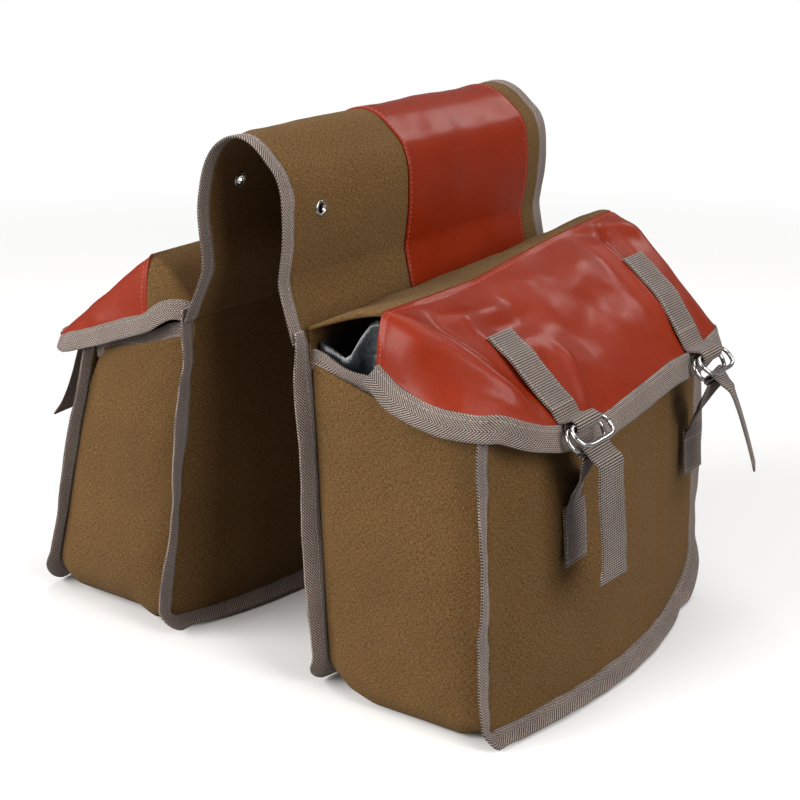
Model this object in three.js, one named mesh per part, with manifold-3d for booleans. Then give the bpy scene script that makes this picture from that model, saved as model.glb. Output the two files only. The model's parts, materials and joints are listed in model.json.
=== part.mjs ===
// A canvas saddle bag: two pockets joined by a yoke that hangs over a rear rack.
// Millimetres. +X runs from the left pocket to the right one, +Y along the bicycle, +Z up.
// The pockets stand on z = 0, and the yoke's crown is over the middle.
import * as THREE from "three";
import { mergeVertices } from "three/addons/utils/BufferGeometryUtils.js";
import Module from "manifold-3d";

// ---- Driving dimensions ----
const HALF = 150; // half the length of a pocket, along Y
const YOKE_HALF = 150; // half the length of the yoke, without its binding
const SEAM_Z = 271; // where yoke, back panel and flap are sewn together
const MOUTH_BACK_Z = 244; // the gusset's top edge, at the back panel
const MOUTH_FRONT_Z = 219; // and at the front panel
const CROWN_Z = 399; // top of the yoke
const HEM_Z = 8; // height of the bottom seams above the floor
const CORNER_R = 14; // lower corners of the front and back panels
const CANVAS = 1.6; // thickness of a canvas layer
const LEATHER = 1.2;
const LINING = 0.8;
const LINING_SLACK = 1.8; // between the lining and a bulging panel
const GAP = 0.4; // clearance between pieces that are sewn face to face
const GUSSET_SWELL = 9; // how far a filled pocket's gusset stands out past its seams
const BELLY = HEM_Z; // the same under the pocket, down to the floor
const TAPE_WIDTH = 17; // binding tape, as folded over an edge
const TAPE_THICK = 3.4;
const STRAP_WIDTH = 30;
const STRAP_THICK = 1.6;
const STRAP_Y = [-83, 103]; // middle of each closure strap, along the pocket
const STRAP_NAMES = ["near", "far"];
const RING_WIRE = 3.2;
const RING_WIDTH = 46;
const RING_DROP = 17; // between the middles of a ring's two bars
const EYELET_AT = { right: [-126, 349], left: [-123, 360] }; // y and z
const EYELET_BORE = 3.3; // radius
const EYELET_FLANGE = 5.8; // radius
const EYELET_LIP = 0.9; // flange thickness
const EYELET_GAP = 0.6; // flange to canvas, which is a little twisted there
const EYELET_TAIL = 1.6; // how far the tube reaches behind the canvas
const YOKE_LEATHER_Y = [-25, 133];

// Each pocket in section, as distances from the middle plane. The left pocket leans out more at its foot.
// seam and foot are the back panel's top and bottom, mouth and toe the front panel's.
// ridge and lip are the flap's crest and front edge, and tail is how far a strap's free end swings out.
const SIDES = [
  { name: "right", sign: 1, seam: 56, foot: 69, mouth: 201, toe: 207, backSwell: 14, frontSwell: 12,
    ridge: 120, lip: 224, lipZ: 215, tail: [9, 12, 15, 18] },
  { name: "left", sign: -1, seam: 46, foot: 91, mouth: 155, toe: 220, backSwell: 34, frontSwell: 8,
    ridge: 100, lip: 192, lipZ: 223, tail: [12, 20, 28, 36] },
];
const RIDGE_Z = 300;
const FLAP_START = 8; // from the seam to the flap's hinge line
const EAR_DROP = 38; // how far the flap's ends hang down beside the pocket, at the ridge
const EAR_TIP = 17; // and at the lip
const EAR_Y = 162; // outer face of a hanging end

const wasm = await Module();
wasm.setup();
const lerp = THREE.MathUtils.lerp;
const vec = (x, y, z) => new THREE.Vector3(x, y, z);

// ---- Geometry helpers ----

/** Closed geometry from rings of points: each is joined to the next, and cap's triangles close both ends. */
function loft(rings, cap) {
  const n = rings[0].length;
  const index = [];
  for (let i = 0; i + 1 < rings.length; i++) {
    for (let j = 0; j < n; j++) {
      const a = i * n + j;
      const b = i * n + ((j + 1) % n);
      index.push(a, b, b + n, a, b + n, a + n);
    }
  }
  const last = (rings.length - 1) * n;
  for (const [a, b, c] of cap) index.push(a, c, b, last + a, last + b, last + c);
  return facingOut(new THREE.BufferGeometry().setFromPoints(rings.flat()).setIndex(index));
}

const QUAD_CAP = [[0, 1, 2], [0, 2, 3]];

/** The end of a sheet with n columns: its ring goes along one face and back along the other. */
function stripCap(n) {
  return Array.from({ length: n - 1 }, (_, k) => [
    [k, k + 1, 2 * n - 2 - k],
    [k, 2 * n - 2 - k, 2 * n - 1 - k],
  ]).flat();
}

/** The same geometry, turned inside out if its faces point inwards. */
function facingOut(geometry) {
  const p = geometry.getAttribute("position");
  const [a, b, c] = [vec(), vec(), vec()];
  const index = geometry.index.array;
  let volume = 0;
  for (let i = 0; i < index.length; i += 3) {
    a.fromBufferAttribute(p, index[i]);
    b.fromBufferAttribute(p, index[i + 1]);
    c.fromBufferAttribute(p, index[i + 2]);
    volume += a.dot(b.cross(c));
  }
  if (volume < 0) index.reverse();
  return geometry;
}

/** A sheet of even thickness: surface(i, j) is its outer face, and it thickens against the face's normal. */
function sheet(rows, columns, surface, thickness, inwards = 1) {
  const face = rows.map((u) => columns.map((v) => surface(u, v)));
  const clamp = (i, count) => THREE.MathUtils.clamp(i, 0, count - 1);
  const at = (i, j) => face[clamp(i, rows.length)][clamp(j, columns.length)];
  const rings = face.map((row, i) => {
    const back = row.map((p, j) => {
      const along = at(i + 1, j).clone().sub(at(i - 1, j));
      const across = at(i, j + 1).clone().sub(at(i, j - 1));
      return p.clone().addScaledVector(along.cross(across).normalize(), -thickness * inwards);
    });
    return [...row, ...back.reverse()];
  });
  return loft(rings, stripCap(columns.length));
}

/** A bar of rectangular section, width by thick, along a line of { at, wide, thin } stations. */
function bar(stations, width, thick) {
  const corners = [[-1, -1], [1, -1], [1, 1], [-1, 1]];
  const corner = ({ at, wide, thin }, a, b) =>
    at.clone().addScaledVector(wide, (a * width) / 2).addScaledVector(thin, (b * thick) / 2);
  const rings = stations.map((station) => corners.map(([a, b]) => corner(station, a, b)));
  return loft(rings, QUAD_CAP);
}

/** Stations for a strap: a path in the XZ plane whose width lies along Y, centred on y. */
function strapStations(path, y) {
  const wide = vec(0, 1, 0);
  return path.map((p, i) => {
    const before = path[Math.max(0, i - 1)];
    const after = path[Math.min(path.length - 1, i + 1)];
    const along = after.clone().sub(before).normalize();
    return { at: vec(p.x, y, p.y), wide, thin: vec(-along.y, 0, along.x) };
  });
}

/** The geometry with its corners merged, so that it closes. */
function welded(geometry) {
  const bare = new THREE.BufferGeometry();
  bare.setAttribute("position", geometry.getAttribute("position").clone());
  if (geometry.index) bare.setIndex(geometry.index);
  return mergeVertices(bare, 1e-3);
}

/** A manifold-3d solid from a closed three.js geometry. */
function solid(geometry) {
  const merged = welded(geometry);
  return new wasm.Manifold(
    new wasm.Mesh({
      numProp: 3,
      vertProperties: merged.getAttribute("position").array,
      triVerts: new Uint32Array(merged.index.array),
    }),
  );
}

/** Geometry with the tools' shapes cut out of it. */
function cut(geometry, ...tools) {
  const result = tools.reduce((body, tool) => body.subtract(solid(tool)), solid(geometry)).getMesh();
  return new THREE.BufferGeometry()
    .setAttribute("position", new THREE.BufferAttribute(result.vertProperties, 3))
    .setIndex(new THREE.BufferAttribute(result.triVerts, 1));
}

/** Evenly spaced values from a to b. */
const steps = (a, b, count) => Array.from({ length: count + 1 }, (_, i) => lerp(a, b, i / count));
const ease = (t) => THREE.MathUtils.smoothstep(t, 0, 1);

/** The right side's geometry, or its mirror image for the left side. */
function mirrored(side, geometry) {
  return side.sign > 0 ? geometry : facingOut(geometry.clone().scale(-1, 1, 1));
}

// ---- Materials ----
const material = (color, roughness, metalness = 0) =>
  new THREE.MeshStandardMaterial({ color, roughness, metalness });
const canvas = material(0x6b4e2b, 0.95);
const leather = material(0x9a2f14, 0.42);
const webbing = material(0x857468, 0.9);
const coating = material(0x2c343b, 0.5);
const chrome = material(0xd8d8d8, 0.15, 1);

const bag = new THREE.Group();

function add(name, geometry, look) {
  const mesh = new THREE.Mesh(geometry, look);
  mesh.name = name;
  bag.add(mesh);
}

// ---- Shapes shared by the pieces of one pocket ----

const innerX = (side, z) => lerp(side.foot, side.seam, z / SEAM_Z);
const outerX = (side, z) => lerp(side.toe, side.mouth, z / MOUTH_FRONT_Z);

/** How far the front or back panel bulges at height z, a share u of the way from its middle to its end. */
function bulge(amount, z, u) {
  const height = (z - HEM_Z) / (SEAM_Z - HEM_Z);
  return amount * (1 - u * u) * (1 - height ** 1.5) * (0.8 + 0.8 * height);
}
const backX = (side, z, u) => innerX(side, z) - bulge(side.backSwell, z, u);
const frontX = (side, z, u) => outerX(side, z) + bulge(side.frontSwell, z, u);

/** Half the length of a panel at height z: its lower corners are round. */
function halfLength(z) {
  const rise = Math.min(CORNER_R, z - HEM_Z);
  return HALF - CORNER_R + Math.sqrt(CORNER_R ** 2 - (CORNER_R - rise) ** 2);
}

/** The seam line in the YZ plane, down one end, along the bottom and up the other, as { y, z, ny, nz }. */
function seamLine(topZ) {
  const down = [topZ, 190, 140, 90, 55].map((z) => ({ y: -HALF, z, ny: -1, nz: 0 }));
  const turn = steps(0, Math.PI / 2, 5).map((a) => ({
    y: -HALF + CORNER_R * (1 - Math.cos(a)),
    z: HEM_Z + CORNER_R * (1 - Math.sin(a)),
    ny: -Math.cos(a),
    nz: -Math.sin(a),
  }));
  const floor = [-100, -60, -20].map((y) => ({ y, z: HEM_Z, ny: 0, nz: -1 }));
  const half = [...down, ...turn, ...floor];
  return [...half, ...half.map((s) => ({ ...s, y: -s.y, ny: -s.ny })).reverse()];
}

/** Height of the flap's top face at distance x from the middle plane. */
function flapZ(side, x) {
  const start = side.seam + FLAP_START;
  if (x < side.ridge) return lerp(SEAM_Z + 5, RIDGE_Z, (x - start) / (side.ridge - start));
  const t = (x - side.ridge) / (side.lip - side.ridge);
  return lerp(RIDGE_Z, side.lipZ, 0.6 * t + 0.4 * t ** 3);
}

/** How far an end of the flap hangs down at distance x. */
const earDrop = (side, x) => lerp(EAR_DROP, EAR_TIP, ease((x - side.ridge) / (side.lip - side.ridge)));

/** A point of the flap's outer face: u runs from end to end, and past +-1 it turns down into the ear. */
function flapPoint(side, u, x) {
  const over = Math.max(0, Math.abs(u) - 1);
  const turn = Math.min(1, over * 3);
  const reach = HALF + 2 + (EAR_Y - HALF - 2) * Math.sin((turn * Math.PI) / 2);
  const y = over > 0 ? Math.sign(u) * reach : u * (HALF + 2);
  return vec(x, y, flapZ(side, x) - earDrop(side, x) * over);
}

// ---- The yoke ----

// Half of the yoke's section above its neck, as [share of the half width, height].
const YOKE_SHAPE = [[0.97, 300], [1, 322], [1, 340], [1, 367], [0.88, 380], [0.63, 391], [0.33, CROWN_Z]];
const YOKE_WIDTH = [36, 41]; // half width at the near and far ends
const YOKE_CENTRE = [12, 10]; // the yoke leans a little to the right

/** Outer face of the yoke in section at y, moved outwards by d, from the right seam round to the left. */
function yokeSection(y, d = 0) {
  const t = (y + YOKE_HALF) / (2 * YOKE_HALF);
  const centre = lerp(...YOKE_CENTRE, t);
  const half = lerp(...YOKE_WIDTH, t);
  const right = YOKE_SHAPE.map(([w, z]) => new THREE.Vector2(centre + half * w, z));
  const left = YOKE_SHAPE.map(([w, z]) => new THREE.Vector2(centre - half * w, z)).reverse();
  const seams = SIDES.map((side) => new THREE.Vector2(side.sign * side.seam, SEAM_Z));
  const line = [seams[0], ...right, ...left, seams[1]];
  return line.map((p, i) => {
    const along = line[Math.min(line.length - 1, i + 1)].clone().sub(line[Math.max(0, i - 1)]).normalize();
    return { at: vec(p.x + along.y * d, y, p.y - along.x * d), normal: vec(along.y, 0, -along.x) };
  });
}

/** The yoke's side at the eyelets, as a distance from the middle plane. */
function eyeletX(side) {
  const t = (EYELET_AT[side.name][0] + YOKE_HALF) / (2 * YOKE_HALF);
  return lerp(...YOKE_CENTRE, t) + side.sign * lerp(...YOKE_WIDTH, t);
}

/** An eyelet's flanged tube and the washer behind the canvas, as profiles of [radius, distance outwards]. */
function eyeletParts(side) {
  const inside = -(CANVAS + EYELET_GAP);
  const neck = EYELET_BORE + 0.8;
  const tube = [
    [EYELET_BORE, inside - EYELET_TAIL],
    [neck, inside - EYELET_TAIL],
    [neck, EYELET_GAP],
    [EYELET_FLANGE, EYELET_GAP],
    [EYELET_FLANGE - 0.6, EYELET_GAP + EYELET_LIP],
    [EYELET_BORE, EYELET_GAP + EYELET_LIP],
    [EYELET_BORE, inside - EYELET_TAIL],
  ];
  const washer = [
    [neck + GAP, inside - EYELET_LIP],
    [EYELET_FLANGE, inside - EYELET_LIP],
    [EYELET_FLANGE, inside],
    [neck + GAP, inside],
    [neck + GAP, inside - EYELET_LIP],
  ];
  return [tube, washer].map((profile) => {
    const lathe = new THREE.LatheGeometry(profile.map(([r, h]) => new THREE.Vector2(r, h)), 24);
    lathe.rotateZ((-side.sign * Math.PI) / 2).translate(eyeletX(side), ...EYELET_AT[side.name]);
    return facingOut(welded(lathe));
  });
}

/** A sheet that follows the yoke's section, between two values of y. */
function yokeSheet(ys, d, thickness, first, last) {
  const columns = yokeSection(0).map((_, k) => k).slice(first, last);
  return sheet(ys, columns, (y, k) => yokeSection(y, d)[k].at, thickness);
}

function buildYoke() {
  const holes = SIDES.map((side) =>
    new THREE.CylinderGeometry(EYELET_BORE + 1.3, EYELET_BORE + 1.3, 20, 24)
      .rotateZ(Math.PI / 2)
      .translate(eyeletX(side), ...EYELET_AT[side.name]),
  );
  const panel = yokeSheet(steps(-YOKE_HALF, YOKE_HALF, 5), 0, CANVAS, 0);
  add("yoke_canvas", cut(panel, ...holes), canvas);
  add("yoke_leather", yokeSheet(steps(...YOKE_LEATHER_Y, 2), LEATHER + 2.5 * GAP, LEATHER, 1, -1), leather);
  for (const [name, end] of [["yoke_near_tape", -1], ["yoke_far_tape", 1]]) {
    const stations = yokeSection(end * YOKE_HALF, -CANVAS / 2).map(({ at, normal }) => ({
      at: at.setY(end * (YOKE_HALF + GAP + TAPE_WIDTH / 2)),
      wide: vec(0, 1, 0),
      thin: normal,
    }));
    add(name, bar(stations, TAPE_WIDTH, TAPE_THICK), webbing);
  }
  for (const side of SIDES) {
    const [tube, washer] = eyeletParts(side);
    add(`${side.name}_eyelet`, tube, chrome);
    add(`${side.name}_eyelet_washer`, washer, chrome);
  }
}

// ---- A pocket ----

function buildPanels(side) {
  const along = steps(-1, 1, 8);
  const low = [HEM_Z, HEM_Z + 2, HEM_Z + 6, HEM_Z + CORNER_R];
  const back = (z, u) => vec(backX(side, z, u), u * halfLength(z), z);
  const backZ = [...low, 80, 130, 180, 230, SEAM_Z - 3];
  add(`${side.name}_back_panel`, mirrored(side, sheet(backZ, along, back, CANVAS, 1)), canvas);
  const front = (z, u) => vec(frontX(side, z, u), u * halfLength(z), z);
  const frontZ = [...low, 75, 110, 150, 190, MOUTH_FRONT_Z];
  add(`${side.name}_front_panel`, mirrored(side, sheet(frontZ, along, front, CANVAS, -1)), canvas);
}

const SEAM_SLACK = 0.07; // extra room at a seam, as a share of the panel's bulge

/** Shares of the gusset's width, and how far it stands out there: fully in the middle, not at the seams. */
const GUSSET_SHARES = [0, 0.05, 0.1, 0.16, 0.5, 0.84, 0.9, 0.95, 1];
const swellShare = (v) => ease(v / 0.16) * ease((1 - v) / 0.16);

/** A point of the gusset: s is a station of the seam line, and v runs from the back panel forwards. */
function gussetPoint(side, s, v) {
  const u = s.y / halfLength(s.z);
  const x0 = backX(side, s.z, u) + CANVAS + GAP + side.backSwell * SEAM_SLACK;
  const x1 = frontX(side, s.z, u) - CANVAS - GAP - side.frontSwell * SEAM_SLACK;
  const swell = swellShare(v) * lerp(GUSSET_SWELL, BELLY, Math.abs(s.nz));
  const lowered = Math.max(0, s.z - 190) / (MOUTH_BACK_Z - 190);
  const z = s.z - lowered * (MOUTH_BACK_Z - MOUTH_FRONT_Z) * v;
  return vec(lerp(x0, x1, v), s.y + s.ny * swell, z + s.nz * swell);
}

function buildGusset(side) {
  const shape = sheet(seamLine(MOUTH_BACK_Z), GUSSET_SHARES, (s, v) => gussetPoint(side, s, v), CANVAS);
  add(`${side.name}_gusset`, mirrored(side, shape), canvas);
}

/** A tub that follows the pocket's walls from the inside, open at the mouth. */
function buildLining(side) {
  const columns = steps(-1, 1, 6);
  const inset = CANVAS + GAP + LINING_SLACK;
  const wall = (z, grow) => {
    const half = halfLength(z - 5) - CANVAS - GAP - 0.6 - grow;
    const back = columns.map((u) => vec(backX(side, z, u) + inset + grow, u * half, z));
    const front = columns.map((u) => vec(frontX(side, z, u) - inset - grow, u * half, z));
    return [...back, ...front.reverse()];
  };
  const [floor, rim] = [HEM_Z + 7, MOUTH_FRONT_Z - 6];
  const walls = [22, 32, 75, 120, 165];
  const cap = stripCap(columns.length);
  const outer = loft([floor, ...walls, rim].map((z) => wall(z, 0)), cap);
  const inner = loft([floor + LINING, ...walls, rim + 8].map((z) => wall(z, LINING)), cap);
  add(`${side.name}_lining`, mirrored(side, cut(outer, inner)), coating);
}

const FIN_GAP = 1.4; // from the seam line to the tape

/** A bound seam: a fin along the seam line. It stands nearly straight out at the ends, and splays below. */
function seamFin(side, line, edgeX, sideways) {
  const stations = line.map((s) => {
    const wide = vec(lerp(sideways[0], sideways[1], -s.nz), s.ny, s.nz).normalize();
    const along = vec(0, -s.nz, s.ny);
    const reach = TAPE_WIDTH / 2 + FIN_GAP;
    const at = vec(edgeX(s.z, s.y / halfLength(s.z)), s.y, s.z).addScaledVector(wide, reach);
    return { at, wide, thin: along.cross(wide).normalize() };
  });
  return mirrored(side, bar(stations, TAPE_WIDTH, TAPE_THICK));
}

function buildSeamTapes(side) {
  const backEdge = (z, u) => backX(side, z, u) - 1.2;
  const frontEdge = (z, u) => frontX(side, z, u) + 1.2;
  const back = seamFin(side, seamLine(SEAM_Z - 5), backEdge, [-0.3, -3.5]);
  add(`${side.name}_back_seam_tape`, back, webbing);
  const front = seamFin(side, seamLine(MOUTH_FRONT_Z - 22), frontEdge, [0.17, 3.5]);
  add(`${side.name}_front_seam_tape`, front, webbing);
}

/** Binding of the pocket's mouth: along the near gusset, the front panel and the far gusset. */
function buildMouthTape(side) {
  const height = (v) => lerp(MOUTH_BACK_Z, MOUTH_FRONT_Z, v) + GAP + TAPE_WIDTH / 2;
  const [x0, x1] = [innerX(side, MOUTH_BACK_Z) + 4, outerX(side, MOUTH_FRONT_Z) - CANVAS / 2];
  const radius = 10;
  const end = HALF + 1;
  const straight = [0, 0.45].map((v) => [lerp(x0, x1, v), -end, height(v), vec(0, -1, 0)]);
  const corner = steps(0, Math.PI / 2, 3).map((a) => {
    const x = x1 - radius + radius * Math.sin(a);
    const y = -end + radius * (1 - Math.cos(a));
    return [x, y, height((x - x0) / (x1 - x0)), vec(Math.sin(a), -Math.cos(a), 0)];
  });
  const near = [...straight, ...corner];
  const far = near.map(([x, y, z, n]) => [x, -y, z, vec(n.x, -n.y, 0)]).reverse();
  const wide = vec(0, 0, 1);
  const stations = [...near, ...far].map(([x, y, z, thin]) => ({ at: vec(x, y, z), wide, thin }));
  add(`${side.name}_mouth_tape`, mirrored(side, bar(stations, TAPE_WIDTH, TAPE_THICK)), webbing);
}

// ---- A flap ----

const RIDGE_GAP = 0.9; // from the crest to each of the two sheets sewn there
const EAR_STOP = 1.5; // the sheets end here, and the binding covers the rest of the ear
const FLAP_ROWS = [-EAR_STOP, -1.33, -1.22, -1.11, -1, -0.5, 0, 0.5, 1, 1.11, 1.22, 1.33, EAR_STOP];

function buildFlap(side) {
  const shape = (x0, x1, count) =>
    sheet(FLAP_ROWS, steps(x0, x1, count), (u, x) => flapPoint(side, u, x), CANVAS, -1);
  const start = side.seam + FLAP_START;
  const lipStop = side.lip - TAPE_WIDTH * 0.45;
  add(`${side.name}_flap_canvas`, mirrored(side, shape(start, side.ridge - RIDGE_GAP, 2)), canvas);
  add(`${side.name}_flap_leather`, mirrored(side, shape(side.ridge + RIDGE_GAP, lipStop, 7)), leather);
  buildFlapTape(side, start + 4, lipStop);
}

/** Binding of the flap's free edge: along the near ear, the lip and the far ear. */
function buildFlapTape(side, start, lipStop) {
  const upright = vec(0, 0, 1);
  const below = GAP + 3 + TAPE_WIDTH / 2;
  const ear = [start, ...steps(side.ridge, lipStop, 5)].map((x) => {
    const edge = flapPoint(side, -EAR_STOP, x);
    return { at: vec(x, edge.y + CANVAS / 2, edge.z - below), wide: upright, thin: vec(0, -1, 0) };
  });
  const tip = ear[ear.length - 1].at;
  const corner = vec(side.lip + 1, tip.y + 16, side.lipZ - 4);
  const turn = steps(0, 1, 4).slice(1).map((t) => {
    const a = (t * Math.PI) / 2;
    const x = lerp(tip.x + 1, corner.x, Math.sin(a));
    const y = lerp(tip.y, corner.y, 1 - Math.cos(a));
    const thin = vec(Math.sin(a), -Math.cos(a), 0);
    return { at: vec(x, y, lerp(tip.z, corner.z, t)), wide: upright, thin };
  });
  const near = [...ear, ...turn];
  const far = near.map(({ at, wide, thin }) => ({
    at: vec(at.x, -at.y, at.z),
    wide,
    thin: vec(thin.x, -thin.y, 0),
  }));
  const tape = bar([...near, ...far.reverse()], TAPE_WIDTH, TAPE_THICK);
  add(`${side.name}_flap_tape`, mirrored(side, tape), webbing);
}

// ---- Closure straps and rings ----

const RING_SLOPE = (-62 * Math.PI) / 180; // a pair of rings points outwards and down
const RING_OFFSET = 2.3; // from the middle of the strap loop to each ring's straight bar
const RING_TURN = { upper: -0.18, lower: 0.1 }; // each ring's own angle in its pair
const LOOP_R = RING_OFFSET + RING_WIRE / 2 + STRAP_THICK / 2 + 0.6;

/** A point given along and across the rings' slope, from the middle of the strap loop outside the lip. */
function fromLoop(side, along, across) {
  const [c, s] = [Math.cos(RING_SLOPE), Math.sin(RING_SLOPE)];
  return new THREE.Vector2(side.lip + 9 + along * c - across * s, side.lipZ + 6 + along * s + across * c);
}

/** A strap from its path in the XZ plane, with its width along Y. */
function strap(side, path, y) {
  return mirrored(side, bar(strapStations(path, y), STRAP_WIDTH, STRAP_THICK));
}

/** The upper strap lies on the flap and ends in a loop round both rings' straight bars. */
function upperStrapPath(side) {
  const top = lerp(side.ridge, side.lip, 0.42);
  const lift = STRAP_THICK / 2 + 1.4;
  const sewn = steps(top, side.lip - 5, 6).map((x) => new THREE.Vector2(x, flapZ(side, x) + lift));
  const loop = steps(165, -130, 11).map((deg) => {
    const a = (deg * Math.PI) / 180;
    return fromLoop(side, Math.cos(a) * LOOP_R, Math.sin(a) * LOOP_R);
  });
  return [...sewn, ...loop];
}

/** The middle line of a D ring in its own plane: a straight bar on y, and a bow on the +x side. */
function ringLine() {
  const [w, d, r] = [RING_WIDTH / 2 - RING_WIRE / 2, RING_DROP, 5];
  const corner = (sign) => [vec(0, sign * (w - r), 0), vec(0, sign * w, 0), vec(r, sign * w, 0)];
  const bow = (sign) => [vec(r, sign * w, 0), vec(d, sign * w, 0), vec(d, sign * w * 0.8, 0), vec(d, 0, 0)];
  return [
    new THREE.LineCurve3(corner(-1)[0], corner(1)[0]),
    new THREE.QuadraticBezierCurve3(...corner(1)),
    new THREE.CubicBezierCurve3(...bow(1)),
    new THREE.CubicBezierCurve3(...bow(-1).reverse()),
    new THREE.QuadraticBezierCurve3(...corner(-1).reverse()),
  ];
}

/** A ring's wire: a round section carried along the closed line. */
function ringWire() {
  const counts = [1, 3, 5, 5, 3];
  const stations = ringLine().flatMap((curve, i) =>
    steps(0, 1, counts[i]).slice(0, -1).map((t) => ({ at: curve.getPoint(t), along: curve.getTangent(t) })),
  );
  const angles = steps(0, 2 * Math.PI, 8).slice(0, -1);
  const points = stations.flatMap(({ at, along }) => {
    const out = vec(along.y, -along.x, 0);
    return angles.map((a) => {
      const spoke = out.clone().multiplyScalar(Math.cos(a)).add(vec(0, 0, Math.sin(a)));
      return at.clone().addScaledVector(spoke, RING_WIRE / 2);
    });
  });
  const [n, m] = [angles.length, stations.length];
  const corner = (i, j) => (i % m) * n + (j % n);
  const index = [];
  for (let i = 0; i < m; i++) {
    for (let j = 0; j < n; j++) {
      index.push(corner(i, j), corner(i, j + 1), corner(i + 1, j + 1));
      index.push(corner(i, j), corner(i + 1, j + 1), corner(i + 1, j));
    }
  }
  return facingOut(new THREE.BufferGeometry().setFromPoints(points).setIndex(index));
}

/** The upper ring hangs inside, and the lower ring over it, on the outside. */
function placedRing(side, y, which) {
  const at = fromLoop(side, 0, which === "upper" ? -RING_OFFSET : RING_OFFSET);
  return mirrored(side, ringWire().rotateY(-(RING_SLOPE + RING_TURN[which])).translate(at.x, y, at.y));
}

/** The lower strap: sewn on the front panel, up behind both rings, over the upper, under the lower, down. */
function lowerStrapPath(side, y) {
  const lift = STRAP_THICK / 2 + GAP + 0.6;
  const clear = RING_WIRE / 2 + STRAP_THICK / 2 + 1.6;
  const edges = [y - STRAP_WIDTH / 2, y + STRAP_WIDTH / 2];
  const panelX = (z) => Math.max(...edges.map((edge) => frontX(side, z, edge / HALF)));
  const sewn = [114, 127, 140, 153].map((z) => new THREE.Vector2(panelX(z) + lift, z));
  const bow = {
    along: RING_DROP * Math.cos(RING_TURN.upper),
    across: RING_DROP * Math.sin(RING_TURN.upper) - RING_OFFSET,
  };
  const round = steps(-90, -270, 6).map((deg) => (deg * Math.PI) / 180);
  const over = [
    [18, -clear - 3],
    [8, -clear - 0.6],
    ...round.map((a) => [clear * Math.cos(a), clear * Math.sin(a)]),
    [8, clear + 0.4],
    [16, clear + 0.8],
  ];
  const wrap = over.map(([along, across]) => fromLoop(side, bow.along + along, bow.across + across));
  const end = wrap[wrap.length - 1];
  const tail = side.tail.map((out, i) => new THREE.Vector2(end.x + out - 4, end.y - 18 - 22 * i));
  const free = new THREE.Vector2(sewn[3].x + 3, 163);
  return [...sewn, free, ...wrap, ...tail];
}

function buildClosures(side) {
  STRAP_Y.forEach((y, i) => {
    const name = `${side.name}_${STRAP_NAMES[i]}`;
    add(`${name}_upper_strap`, strap(side, upperStrapPath(side), y), webbing);
    const lower = new THREE.SplineCurve(lowerStrapPath(side, y)).getPoints(48);
    add(`${name}_lower_strap`, strap(side, lower, y), webbing);
    for (const which of ["upper", "lower"]) {
      add(`${name}_${which}_ring`, placedRing(side, y, which), chrome);
    }
  });
}

buildYoke();
for (const side of SIDES) {
  buildPanels(side);
  buildGusset(side);
  buildLining(side);
  buildSeamTapes(side);
  buildMouthTape(side);
  buildFlap(side);
  buildClosures(side);
}

// The origin is under the middle of the whole bag.
const box = new THREE.Box3().setFromObject(bag);
const middle = box.getCenter(vec());
bag.position.set(-middle.x, -middle.y, -box.min.z);

export default bag;
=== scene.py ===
"""A canvas and leather saddle bag: the looks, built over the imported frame. Metres, Z up."""
import json
import math

import bpy
import numpy as np
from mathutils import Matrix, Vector, noise


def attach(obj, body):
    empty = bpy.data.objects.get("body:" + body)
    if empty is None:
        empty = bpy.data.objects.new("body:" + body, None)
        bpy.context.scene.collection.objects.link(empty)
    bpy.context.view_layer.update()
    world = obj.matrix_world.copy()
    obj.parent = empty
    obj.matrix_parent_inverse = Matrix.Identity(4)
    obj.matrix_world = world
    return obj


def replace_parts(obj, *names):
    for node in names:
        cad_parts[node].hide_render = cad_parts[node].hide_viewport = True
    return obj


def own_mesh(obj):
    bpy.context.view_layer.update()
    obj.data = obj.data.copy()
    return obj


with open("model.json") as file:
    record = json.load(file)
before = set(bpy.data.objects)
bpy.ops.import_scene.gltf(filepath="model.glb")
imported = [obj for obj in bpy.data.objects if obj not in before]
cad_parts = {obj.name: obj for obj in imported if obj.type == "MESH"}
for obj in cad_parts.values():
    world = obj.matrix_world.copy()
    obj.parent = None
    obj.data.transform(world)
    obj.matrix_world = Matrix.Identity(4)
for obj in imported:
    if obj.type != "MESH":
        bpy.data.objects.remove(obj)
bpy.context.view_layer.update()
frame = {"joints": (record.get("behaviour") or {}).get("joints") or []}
MM = 0.001
JOINTS = {j["name"]: j for j in frame["joints"]}

# ---- The CAD's driving dimensions, in millimetres ----
HALF, SEAM_Z, HEM_Z = 150, 271, 8
MOUTH_BACK_Z, MOUTH_FRONT_Z = 244, 219
CANVAS, LEATHER, STRAP_WIDTH, STRAP_THICK = 1.6, 1.2, 30, 1.6
TAPE_WIDTH, TAPE_THICK = 17, 2.8
RING_WIRE, RING_WIDTH, RING_DROP = 3.2, 46, 17
STRAP_Y = {"near": -83, "far": 103}
EYELET_AT = {"right": (-126, 349), "left": (-123, 360)}
# ---- Sizes of the looks, in millimetres ----
EYELET_HOLE = 3.8
SEAM_BINDING = 12.5  # width of the tape where it binds one edge of cloth
SEAM_THREAD, HIDE_THREAD = (3.4, 2.3), (3.6, 2.5)  # pitch and length of a stitch


class Side:
    def __init__(self, **values):
        self.__dict__.update(values)


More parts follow.
